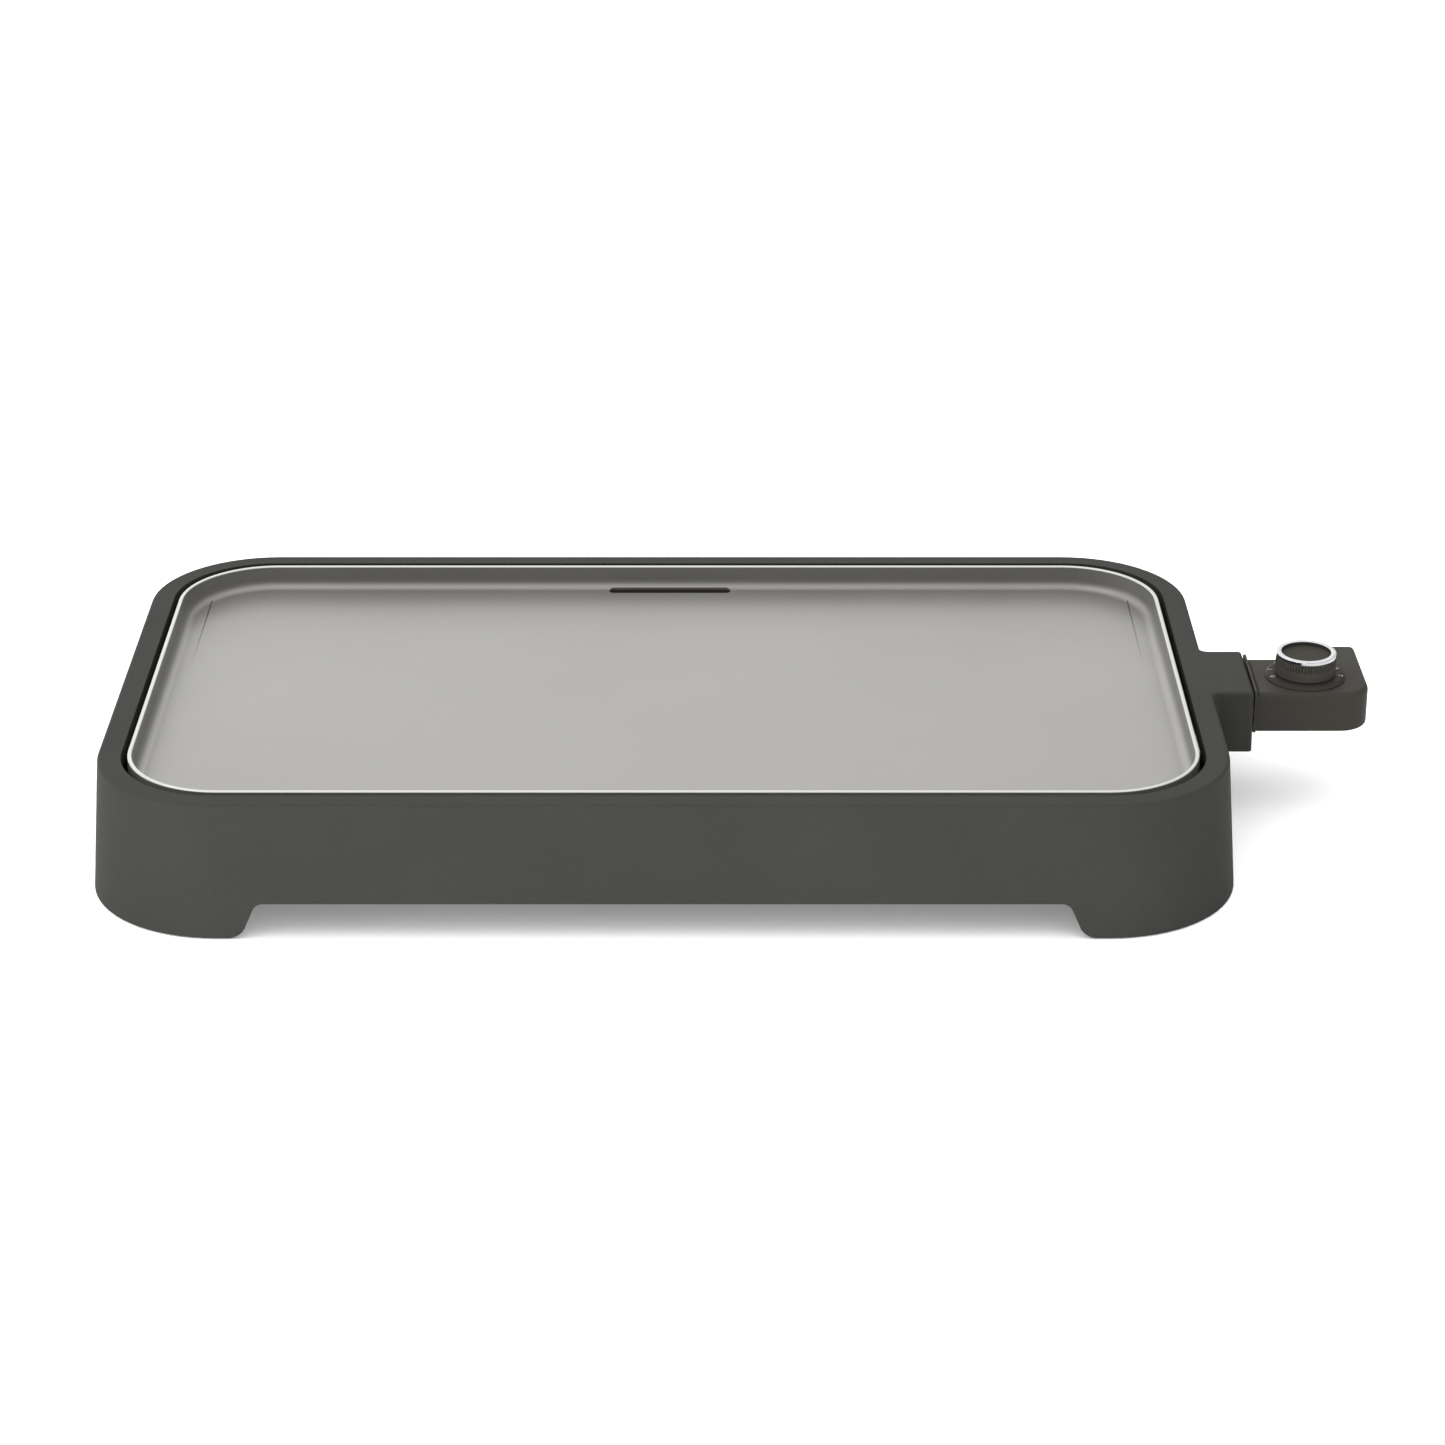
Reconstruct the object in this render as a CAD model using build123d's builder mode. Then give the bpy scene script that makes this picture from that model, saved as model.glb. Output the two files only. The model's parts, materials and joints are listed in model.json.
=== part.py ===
from build123d import *
import os

# Electric griddle with a plug-in heat control, in millimetres.
# Origin: middle of the whole object's footprint, on the table. +X to the heat control's side,
# +Y to the back, where the drip slot and the drip tray are, +Z up.
# Every X below is given from the middle of the base, which home, facing() and across() shift into place.

os.makedirs("parts", exist_ok=True)

# Base moulding: outline on the table, drawn in by the draft towards the top
base_length = 557.2
base_width = 326.8
base_corner = 66.6
base_height = 67.9
base_draft = 4.55
wall = 3.0
rim_thickness = 3.0
rim_edge = 1.8
rim_opening = (523.6, 294.8)
rim_opening_corner = 49.1
rim_lip = 2.5
rim_lip_bottom = 58.5

# Feet and the arches between them
foot_lift = 0.6
arch_height = 17.9
arch_slope = 7.7
arch_half_length = 200.4
arch_half_width = 85.2
arch_foot_radius = 9.0
arch_top_radius = 5.5
shelf_thickness = 4.0
shelf_inset = 9.0
pad_spacing = (472.0, 248.0)
pad_radius = 18.0
pad_clearance = 0.3
pad_recess = 1.6
pad_edge = 0.4
pad_stem = 4.0
pad_stem_clearance = 0.1
pad_head_radius = 5.4
pad_head_height = 2.4
pad_head_taper = 20.0

# Griddle plate: a cast pan
plate_size = (518.0, 288.0)
plate_corner = 48.1
plate_wall = 2.3
plate_top = 68.2
plate_edge = 0.7
pan_depth = 12.4
plate_floor = 3.5
pan_fillet = 5.0
slot_length = 65.4
slot_width = 5.0
slot_centre_y = 137.3
crease_x = 245.5
crease_span = (28.0, 119.0)
crease_width = 0.6
crease_depth = 0.35
crease_end = 3.0

# Heating element, pressed into a channel under the pan
tube_radius = 3.5
element_half = (200.0, 95.0)
element_bend = 40.0
lead_bend = 12.0
lead_end = 259.0
channel_end = 251.0
channel_width = 14.0
channel_depth = 4.0
terminal_y = 17.0
pin_radius = 2.2
pin_end = 314.0
pin_tip = 0.8

# Plate fixings: screws through lugs on the base into bosses under the pan
end_bosses = (472.0, 116.0)
side_bosses = (330.0, 244.0)
boss_radius = 6.0
boss_bottom = 46.5
lug_top = 43.5
lug_thickness = 3.0
lug_half_width = 13.0
lug_reach_side = 36.5
lug_reach_end = 37.7
rib_thickness = 2.5
rib_length = 24.0
rib_height = 8.0
rib_spread = 16.0
screw_radius = 2.0
screw_clearance = 0.2
screw_depth = 4.5
screw_head_radius = 3.8
screw_head_height = 2.6
screw_head_edge = 1.2
cross_length = 4.2
cross_width = 0.9
cross_depth = 1.4
spacer_radius = 6.5
spacer_bore = 2.3

# Sensor sleeve block, terminal bracket and bushes under the right end of the pan
block_start = 222.0
block_end = 256.0
block_half_width = 6.5
block_bottom = 43.5
land_start = 238.0
land_half_width = 13.3
land_bottom = 45.1
sleeve_outer = 4.0
sleeve_length = 41.0
bracket_x = 266.0
bracket_sheet = 1.5
bracket_width = 46.0
bracket_top = 57.0
bracket_foot_y = (8.0, 17.0)
bracket_window = 4.6
bracket_screws_at = [(247.0, 10.0), (247.0, -10.0)]
bracket_screw_radius = 1.4
bracket_screw_head = 2.7
bracket_screw_head_height = 1.8
bracket_screw_edge = 0.8
bush_radius = 3.6
bush_start = 260.5
bush_length = 13.5
bush_flange_radius = 5.2
bush_flange = 2.0

# Terminal guard on the right of the base
guard_start = 266.0
guard_end = 294.2
guard_half_width = 27.0
guard_bottom = 35.8
guard_wall = 3.0
guard_draft = 0.7
guard_corner = 2.0
guard_root = 4.0
guard_hollow_start = 268.7
guard_window_start = 279.5
guard_window_bottom = 38.5

# Drip tray and its guide
tray_half_width = 88.0
tray_front = 48.0
tray_pan_back = 146.0
tray_bottom = 20.0
tray_top = 41.5
tray_wall = 1.6
tray_corner = 8.0
tray_bottom_edge = 4.0
tray_lip_half = 96.0
tray_lip = 1.5
tray_web_back = 158.0
tray_rib = (2.0, 14.0, 12.0)
tray_rib_spacing = 130.0
tray_rib_y = 152.0
face_half_width = 96.5
face_bottom = 19.0
face_top = 45.0
face_gap = 0.3
notch_half_width = 97.2
notch_top = 45.6
notch_depth = 20.0
guide_outer = 101.0
guide_inner = 90.5
guide_sheet = 1.5
guide_front = 42.0
guide_back = 150.0
guide_top = 44.0
guide_gap = 0.3
guide_tab_outer = 119.0
guide_tab_bottom = 27.0
guide_pad = (18.0, 19.0, 9.0)
guide_pad_x = 110.0
guide_screw_x = 111.0
guide_screw_heights = (32.0, 40.0)
guide_screw_radius = 1.6
guide_screw_head = 3.2
guide_screw_head_height = 1.9
guide_screw_edge = 0.8
guide_screw_length = 8.0

# Heat control: a plug-in probe with a knob
collar_left = 295.0
collar_thickness = 1.2
collar_half_width = 25.5
collar_top = 67.3
collar_corner = 2.5
control_bottom = 44.6
control_split = 55.0
control_top = 65.5
neck_half_width = 23.0
head_left = 314.0
head_back = 40.0
control_right = 354.0
control_wall = 1.9
control_floor = 1.4
control_roof = 2.2
control_edge = 2.8
control_bottom_edge = 1.6
front_corner = 15.0
small_corner = 3.0
pin_opening = 2.6
housing_screws_at = [(348.0, 28.0), (319.4, 31.5), (343.0, -14.5)]
housing_boss_radius = 3.2
housing_boss_top = 63.6
housing_screw_radius = 1.4
housing_screw_length = 14.0
housing_head_radius = 2.5
housing_head_height = 1.4
head_clearance = 0.1
housing_recess = 1.6
housing_cross = (3.2, 0.7, 0.9)
gland_x = 329.5
gland_z = 55.5
gland_flange = (26.0, 18.6, 5.0)
gland_window = (16.0, 14.0, 4.0)
gland_inner = (19.0, 15.6, 4.0)
gland_inner_thickness = 3.0
gland_back = 43.5
gland_edge = 1.2
cord_radius = 3.6

# Sensor rod and the sleeves that the terminal pins run in
rod_radius = 2.75
rod_wall = 0.7
rod_tip = 223.0
rod_end = 311.0
rod_nose = 2.4
rod_nose_wall = 2.0
push_rod_radius = 1.3
push_rod_length = 92.0
sleeve_clearance = 0.06
sleeve_radius = 2.7
sleeve_start = 299.4
sleeve_reach = 19.6
contact_block_start = 299.2
contact_block_size = (18.0, 40.0, 7.8)
contact_block_z = 50.5
contact_post = (327.0, 333.0)
contact_post_half_width = 4.0
contact_foot = (46.6, 49.0)

# Thermostat: frame, rocking contact arm and fixed contact
frame_left = 301.5
frame_foot_right = 321.0
frame_top_right = 332.0
frame_bottom = 54.4
frame_top = 62.7
frame_sheet = 1.2
frame_half_width = 7.0
ear_width = 4.0
ear_top = 59.6
ear_thickness = 1.0
pivot_x = 316.7
pivot_z = 58.4
pivot_radius = 0.8
pivot_length = 14.8
arm_barrel = 1.5
arm_bore = 0.85
arm_thickness = 0.8
arm_half_width = 3.0
arm_left = 303.2
arm_right = 329.5
contact_x = 327.5
contact_radius = 1.5
contact_height = 0.8
fixed_left = 325.0
fixed_right = 342.0
fixed_bottom = 55.2
fixed_thickness = 0.8
fixed_half_width = 3.0
fixed_tail_bottom = 51.6
bush_hole = 4.0
shaft_bush_z = (60.2, 61.0, 61.5, 63.0)
shaft_bush_flange = 5.2
shaft_bush_clearance = 0.05

# Knob, dial, pilot lamp and cord terminals
knob_x = 323.2
dial_radius = 20.25
dial_top = 67.3
dial_bevel = (1.2, 1.8)
knob_bottom = 67.6
knob_top = 77.1
knob_radius_bottom = 15.35
knob_radius_top = 15.05
knob_skirt_inner = 13.3
knob_hollow_top = 74.2
knob_hub_radius = 5.0
knob_hub_bottom = 68.2
cap_seat = 75.5
cap_edge = 0.4
ring_top = 79.0
ring_inner = 12.85
ring_edge = 0.6
rib_count = 60
groove = (1.5, 0.75, 4.6)
groove_offset = 0.35
cap_clearance = 0.05
shaft_radius = 2.5
shaft_bottom = 59.2
shaft_opening = 3.1
clip_bottom = 59.3
clip_radius = 4.4
clip_thickness = 0.6
lens_at = (327.0, 30.0)
lens_radius = 3.0
lens_bottom = 62.0
lens_rise = 0.9
lens_edge = 0.8
lamp_start = 324.0
lamp_z = 58.8
lamp_radius = 2.4
lamp_length = 10.0
lamp_tip = 1.6
terminal_block_at = (342.0, 12.5)
terminal_block_size = (12.0, 18.0, 7.0)
terminal_block_bottom = 46.4
wire_hole_spacing = 6.0
wire_hole_radius = 1.6
wire_hole_z = 50.0
wire_screw_spacing = (6.0, 10.0)
wire_screw_radius = 1.1
wire_screw_bottom = 51.2
wire_screw_length = 1.8

# Worked out from the above
# The base is centred on the table, and the control sticks out on one side only
base_x = -(control_right - base_length / 2) / 2
home = Plane(origin=(base_x, 0, 0))
knob_axis = Axis((base_x + knob_x, 0, 0), (0, 0, 1))
collar_right = collar_left + collar_thickness
plate_bottom = plate_top - pan_depth - plate_floor
pan_floor = plate_top - pan_depth
terminal_z = plate_bottom - tube_radius
bracket_bottom = land_bottom - bracket_sheet
rail_bottom = tray_top - tray_lip - guide_gap - guide_sheet
base_slope = 5.2 / base_height
pins_at = [(-terminal_y, 0), (terminal_y, 0)]
bosses_at = [(side * end_bosses[0] / 2, end * end_bosses[1] / 2) for side in (-1, 1) for end in (-1, 1)]
bosses_at += [(side * side_bosses[0] / 2, end * side_bosses[1] / 2) for side in (-1, 1) for end in (-1, 1)]
guide_screws_at = [(side * guide_screw_x, height) for side in (-1, 1) for height in guide_screw_heights]
element_corners = [
    (element_half[0], terminal_y), element_half, (-element_half[0], element_half[1]),
    (-element_half[0], -element_half[1]), (element_half[0], -element_half[1]), (element_half[0], -terminal_y),
]
element_radii = [lead_bend, element_bend, element_bend, element_bend, element_bend, lead_bend]
block_overlap = 0.5


def facing(y):
    """A plane that looks along -Y: X across, Z up."""
    return Plane(origin=(base_x, y, 0), x_dir=(1, 0, 0), z_dir=(0, -1, 0))


def across(x, y=0, z=0):
    """A plane that looks along +X: Y across, Z up."""
    return Plane(origin=(base_x + x, y, z), x_dir=(0, 1, 0), z_dir=(1, 0, 0))


def upright(edge):
    """True for an edge that runs along Z."""
    return abs(edge.tangent_at(0.5).Z) > 0.9


# Base moulding
with BuildPart() as base_skirt:
    with BuildSketch(home):
        RectangleRounded(base_length, base_width, base_corner)
    extrude(amount=base_height, taper=base_draft)
    with BuildSketch(home.offset(base_height)):
        with Locations((guard_start, 0)):
            Rectangle(guard_end - guard_start, 2 * guard_half_width, align=(Align.MIN, Align.CENTER))
    extrude(amount=guard_bottom - base_height, taper=-guard_draft)
    guard_corners = base_skirt.edges().filter_by(upright).filter_by(
        lambda e: abs(e.center().X - base_x - guard_end) < 1
    )
    fillet(guard_corners, radius=guard_corner)
    guard_roots = base_skirt.edges().filter_by(upright).filter_by(
        lambda e: abs(abs(e.center().Y) - guard_half_width) < 2
        and guard_hollow_start < e.center().X - base_x < guard_window_start
    )
    fillet(guard_roots, radius=guard_root)
    fillet(base_skirt.faces().sort_by(Axis.Z)[-1].edges(), radius=rim_edge)
    # Hollow under the rim, the opening that the pan sits in, and the lip around the opening
    with BuildSketch(home):
        RectangleRounded(base_length - 2 * wall, base_width - 2 * wall, base_corner - wall)
    extrude(amount=base_height - rim_thickness, taper=base_draft, mode=Mode.SUBTRACT)
    with BuildSketch(home.offset(base_height)):
        RectangleRounded(*rim_opening, rim_opening_corner)
    extrude(amount=-2 * rim_thickness, mode=Mode.SUBTRACT)
    with BuildSketch(home.offset(rim_lip_bottom)):
        RectangleRounded(rim_opening[0] + 2 * rim_lip, rim_opening[1] + 2 * rim_lip,
                         rim_opening_corner + rim_lip)
        RectangleRounded(*rim_opening, rim_opening_corner, mode=Mode.SUBTRACT)
    extrude(amount=base_height - rim_thickness / 2 - rim_lip_bottom)
    # Inside of the terminal guard, open below and at its outer end
    with BuildSketch(home.offset(base_height - guard_wall)):
        with Locations((guard_hollow_start, 0)):
            Rectangle(guard_end - guard_hollow_start + 1, 2 * (guard_half_width - guard_wall),
                      align=(Align.MIN, Align.CENTER))
    extrude(amount=guard_window_bottom - base_height + guard_wall, mode=Mode.SUBTRACT)
    with BuildSketch(home.offset(guard_bottom - 2)):
        with Locations((guard_window_start, 0)):
            Rectangle(guard_end - guard_window_start + 1, 2 * (guard_half_width - guard_wall),
                      align=(Align.MIN, Align.CENTER))
    extrude(amount=guard_window_bottom - guard_bottom + 3, mode=Mode.SUBTRACT)
    # Floors inside the four feet
    with BuildSketch(home.offset(foot_lift)):
        RectangleRounded(base_length - wall, base_width - wall, base_corner - wall)
        Rectangle(2 * (arch_half_length + shelf_inset), base_width, mode=Mode.SUBTRACT)
        Rectangle(base_length, 2 * (arch_half_width + shelf_inset), mode=Mode.SUBTRACT)
    extrude(amount=shelf_thickness)
    # Arches between the feet, front to back and side to side
    for plane, half_span, reach in ((facing(0), arch_half_length, base_length),
                                    (across(0), arch_half_width, base_width)):
        with BuildSketch(plane):
            with BuildLine():
                FilletPolyline(
                    (-reach, foot_lift), (-half_span, foot_lift), (-half_span + arch_slope, arch_height),
                    (half_span - arch_slope, arch_height), (half_span, foot_lift), (reach, foot_lift),
                    radius=[arch_foot_radius, arch_top_radius, arch_top_radius, arch_foot_radius],
                )
                Polyline((reach, foot_lift), (reach, -1), (-reach, -1), (-reach, foot_lift))
            make_face()
        extrude(amount=base_length, both=True, mode=Mode.SUBTRACT)
    # Recesses and stem holes for the rubber pads
    with BuildSketch(home.offset(foot_lift)):
        with GridLocations(*pad_spacing, 2, 2):
            Circle(pad_radius + pad_clearance)
    extrude(amount=pad_recess, mode=Mode.SUBTRACT)
    with BuildSketch(home.offset(foot_lift)):
        with GridLocations(*pad_spacing, 2, 2):
            Circle(pad_stem)
    extrude(amount=shelf_thickness + 1, mode=Mode.SUBTRACT)
    # Lugs that carry the pan, each on two ribs
    with BuildSketch(home.offset(lug_top)):
        with Locations(*bosses_at):
            Circle(lug_half_width)
        with GridLocations(side_bosses[0], side_bosses[1] + lug_reach_side, 2, 2):
            Rectangle(2 * lug_half_width, lug_reach_side)
        with GridLocations(end_bosses[0] + lug_reach_end, end_bosses[1], 2, 2):
            Rectangle(lug_reach_end, 2 * lug_half_width)
    extrude(amount=-lug_thickness)
    side_rib_reach = 2 * lug_reach_side - rib_length
    end_rib_reach = 2 * lug_reach_end - rib_length
    with BuildSketch(home.offset(lug_top - lug_thickness)):
        for spread in (-rib_spread, rib_spread):
            with GridLocations(side_bosses[0] + spread, side_bosses[1] + side_rib_reach, 2, 2):
                Rectangle(rib_thickness, rib_length)
            with GridLocations(end_bosses[0] + end_rib_reach, end_bosses[1] + spread, 2, 2):
                Rectangle(rib_length, rib_thickness)
    extrude(amount=-rib_height)
    with BuildSketch(home.offset(lug_top)):
        with Locations(*bosses_at):
            Circle(screw_radius + screw_clearance)
    extrude(amount=-lug_thickness, mode=Mode.SUBTRACT)
    # Notch in the back wall for the drip tray, and the pads that hold its guide
    with BuildSketch(facing(base_width / 2 + 1)):
        with Locations((0, notch_top)):
            Rectangle(2 * notch_half_width, notch_top - arch_height + 4, align=(Align.CENTER, Align.MAX))
    extrude(amount=notch_depth, mode=Mode.SUBTRACT)
    with BuildSketch(facing(guide_back)):
        with Locations((-guide_pad_x, guide_top + 1), (guide_pad_x, guide_top + 1)):
            Rectangle(guide_pad[0], guide_pad[1], align=(Align.CENTER, Align.MAX))
    extrude(amount=-guide_pad[2])
    with BuildSketch(facing(guide_back)):
        with Locations(*guide_screws_at):
            Circle(guide_screw_radius)
    extrude(amount=-guide_screw_length, mode=Mode.SUBTRACT)
base_skirt.part.label = "base_skirt"
export_step(base_skirt.part, "parts/base_skirt.step")

# Rubber pads under the feet, each held by a mushroom stem
for name, side_x, side_y in (("front_left", -1, -1), ("front_right", 1, -1),
                             ("back_left", -1, 1), ("back_right", 1, 1)):
    pad_at = (side_x * pad_spacing[0] / 2, side_y * pad_spacing[1] / 2)
    with BuildPart() as foot_pad:
        with BuildSketch(home):
            with Locations(pad_at):
                Circle(pad_radius)
        extrude(amount=foot_lift + pad_recess)
        fillet(foot_pad.edges().sort_by(Axis.Z)[0], radius=pad_edge)
        with BuildSketch(home.offset(foot_lift + pad_recess)):
            with Locations(pad_at):
                Circle(pad_stem - pad_stem_clearance)
        extrude(amount=shelf_thickness - pad_recess)
        with BuildSketch(home.offset(foot_lift + shelf_thickness)):
            with Locations(pad_at):
                Circle(pad_head_radius)
        extrude(amount=pad_head_height, taper=pad_head_taper)
    foot_pad.part.label = f"{name}_foot_pad"
    export_step(foot_pad.part, f"parts/{name}_foot_pad.step")

# Heating element: a tube bent round the pan, with both leads out at the right end
with BuildPart() as heating_element:
    with BuildLine(home.offset(terminal_z)) as element_path:
        FilletPolyline((lead_end, terminal_y), *element_corners, (lead_end, -terminal_y),
                       radius=element_radii)
    with BuildSketch(across(lead_end, terminal_y, terminal_z)):
        Circle(tube_radius)
    sweep(path=element_path.wire())
heating_element.part.label = "heating_element"
export_step(heating_element.part, "parts/heating_element.step")

# Griddle plate
with BuildPart() as griddle_plate:
    with BuildSketch(home.offset(plate_bottom)):
        RectangleRounded(*plate_size, plate_corner)
    extrude(amount=plate_top - plate_bottom)
    fillet(griddle_plate.faces().sort_by(Axis.Z)[0].edges(), radius=pan_fillet)
    with BuildSketch(home.offset(plate_top)):
        RectangleRounded(plate_size[0] - 2 * plate_wall, plate_size[1] - 2 * plate_wall,
                         plate_corner - plate_wall)
    extrude(amount=-pan_depth, mode=Mode.SUBTRACT)
    floor_face = griddle_plate.faces().filter_by(
        lambda f: abs(f.center().Z - pan_floor) < 0.01 and f.normal_at().Z > 0.9
    )[0]
    fillet(floor_face.edges(), radius=pan_fillet)
    fillet(griddle_plate.faces().sort_by(Axis.Z)[-1].edges(), radius=plate_edge)
    # Rib under the floor, which the element is pressed into
    with BuildLine(home.offset(plate_bottom)) as channel_path:
        FilletPolyline((channel_end, terminal_y), *element_corners, (channel_end, -terminal_y),
                       radius=element_radii)
    with BuildSketch(across(channel_end, terminal_y, plate_bottom)):
        with Locations((0, 1)):
            Rectangle(channel_width, channel_depth + 1, align=(Align.CENTER, Align.MAX))
    sweep(path=channel_path.wire())
    add(heating_element.part, mode=Mode.SUBTRACT)
    # Bosses for the fixing screws
    with BuildSketch(home.offset(plate_bottom + block_overlap)):
        with Locations(*bosses_at):
            Circle(boss_radius)
    extrude(amount=boss_bottom - plate_bottom - block_overlap)
    with BuildSketch(home.offset(boss_bottom)):
        with Locations(*bosses_at):
            Circle(screw_radius)
    extrude(amount=screw_depth, mode=Mode.SUBTRACT)
    # Block that holds the sensor sleeve, with lands for the terminal bracket
    with BuildSketch(home.offset(plate_bottom + block_overlap)):
        with Locations((block_end, 0)):
            Rectangle(block_end - block_start, 2 * block_half_width, align=(Align.MAX, Align.CENTER))
    extrude(amount=block_bottom - plate_bottom - block_overlap)
    with BuildSketch(home.offset(plate_bottom + block_overlap)):
        with Locations((block_end, 0)):
            Rectangle(block_end - land_start, 2 * land_half_width, align=(Align.MAX, Align.CENTER))
    extrude(amount=land_bottom - plate_bottom - block_overlap)
    with BuildSketch(across(block_start, 0, terminal_z)):
        Circle(sleeve_outer)
    extrude(amount=sleeve_length, mode=Mode.SUBTRACT)
    with BuildSketch(home.offset(land_bottom)):
        with Locations(*bracket_screws_at):
            Circle(bracket_screw_radius)
    extrude(amount=screw_depth, mode=Mode.SUBTRACT)
    # Drip slot at the back
    with BuildSketch(home.offset(boss_bottom)):
        with Locations((0, slot_centre_y)):
            SlotOverall(slot_length, slot_width)
    extrude(amount=pan_depth + plate_floor, mode=Mode.SUBTRACT)
    # Shallow crease along each end of the floor, running out towards the front
    for crease in (-crease_x, crease_x):
        with BuildSketch(across(crease - crease_width / 2)):
            with BuildLine():
                Polyline(
                    (crease_span[0], pan_floor), (crease_span[1], pan_floor - crease_depth),
                    (crease_span[1] + crease_end, pan_floor), (crease_span[1] + crease_end, pan_floor + 1),
                    (crease_span[0], pan_floor + 1), (crease_span[0], pan_floor),
                )
            make_face()
        extrude(amount=crease_width, mode=Mode.SUBTRACT)
griddle_plate.part.label = "griddle_plate"
export_step(griddle_plate.part, "parts/griddle_plate.step")

# Ceramic spacers that keep the hot pan off the base, and the screws through them
with BuildPart() as spacer_washers:
    with BuildSketch(home.offset(lug_top)):
        with Locations(*bosses_at):
            Circle(spacer_radius)
            Circle(spacer_bore, mode=Mode.SUBTRACT)
    extrude(amount=boss_bottom - lug_top)
spacer_washers.part.label = "spacer_washers"
export_step(spacer_washers.part, "parts/spacer_washers.step")

with BuildPart() as plate_screws:
    with BuildSketch(home.offset(lug_top - lug_thickness)):
        with Locations(*bosses_at):
            Circle(screw_head_radius)
    extrude(amount=-screw_head_height)
    fillet(plate_screws.faces().group_by(Axis.Z)[0].edges(), radius=screw_head_edge)
    with BuildSketch(home.offset(lug_top - lug_thickness - screw_head_height)):
        with Locations(*bosses_at):
            Rectangle(cross_length, cross_width)
            Rectangle(cross_width, cross_length)
    extrude(amount=cross_depth, mode=Mode.SUBTRACT)
    with BuildSketch(home.offset(lug_top - lug_thickness)):
        with Locations(*bosses_at):
            Circle(screw_radius)
    extrude(amount=boss_bottom + screw_depth - 0.5 - lug_top + lug_thickness)
plate_screws.part.label = "plate_screws"
export_step(plate_screws.part, "parts/plate_screws.step")

# Two terminal pins, their ceramic bushes, and the steel bracket that holds them
with BuildPart() as terminal_pins:
    with BuildSketch(across(lead_end, 0, terminal_z)):
        with Locations(*pins_at):
            Circle(pin_radius)
    extrude(amount=pin_end - lead_end)
    chamfer(terminal_pins.faces().group_by(Axis.X)[-1].edges(), length=pin_tip)
terminal_pins.part.label = "terminal_pins"
export_step(terminal_pins.part, "parts/terminal_pins.step")

with BuildPart() as terminal_bracket:
    with BuildSketch(across(bracket_x, 0, bracket_bottom)):
        Rectangle(bracket_width, bracket_top - bracket_bottom, align=(Align.CENTER, Align.MIN))
    extrude(amount=bracket_sheet)
    with BuildSketch(home.offset(bracket_bottom)):
        with GridLocations(0, bracket_foot_y[0] + bracket_foot_y[1], 1, 2):
            with Locations(((land_start + bracket_x + bracket_sheet) / 2, 0)):
                Rectangle(bracket_x + bracket_sheet - land_start, bracket_foot_y[1] - bracket_foot_y[0])
    extrude(amount=bracket_sheet)
    with BuildSketch(across(bracket_x, 0, terminal_z)):
        with Locations(*pins_at):
            Circle(bush_radius)
        Circle(bracket_window)
    extrude(amount=bracket_sheet, mode=Mode.SUBTRACT)
    with BuildSketch(home.offset(bracket_bottom)):
        with Locations(*bracket_screws_at):
            Circle(bracket_screw_radius + screw_clearance)
    extrude(amount=bracket_sheet, mode=Mode.SUBTRACT)
terminal_bracket.part.label = "terminal_bracket"
export_step(terminal_bracket.part, "parts/terminal_bracket.step")

with BuildPart() as terminal_bushes:
    with BuildSketch(across(bush_start, 0, terminal_z)):
        with Locations(*pins_at):
            Circle(bush_radius)
    extrude(amount=bush_length)
    with BuildSketch(across(bracket_x + bracket_sheet, 0, terminal_z)):
        with Locations(*pins_at):
            Circle(bush_flange_radius)
    extrude(amount=bush_flange)
    with BuildSketch(across(bush_start, 0, terminal_z)):
        with Locations(*pins_at):
            Circle(pin_radius)
    extrude(amount=bush_length, mode=Mode.SUBTRACT)
terminal_bushes.part.label = "terminal_bushes"
export_step(terminal_bushes.part, "parts/terminal_bushes.step")

with BuildPart() as bracket_screws:
    with BuildSketch(home.offset(bracket_bottom)):
        with Locations(*bracket_screws_at):
            Circle(bracket_screw_head)
    extrude(amount=-bracket_screw_head_height)
    fillet(bracket_screws.faces().group_by(Axis.Z)[0].edges(), radius=bracket_screw_edge)
    with BuildSketch(home.offset(bracket_bottom)):
        with Locations(*bracket_screws_at):
            Circle(bracket_screw_radius)
    extrude(amount=bracket_sheet + screw_depth - 0.5)
bracket_screws.part.label = "bracket_screws"
export_step(bracket_screws.part, "parts/bracket_screws.step")

with BuildPart() as sensor_sleeve:
    with BuildSketch(across(block_start, 0, terminal_z)):
        Circle(sleeve_outer)
        Circle(rod_radius + sleeve_clearance, mode=Mode.SUBTRACT)
    extrude(amount=sleeve_length)
sensor_sleeve.part.label = "sensor_sleeve"
export_step(sensor_sleeve.part, "parts/sensor_sleeve.step")

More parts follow.
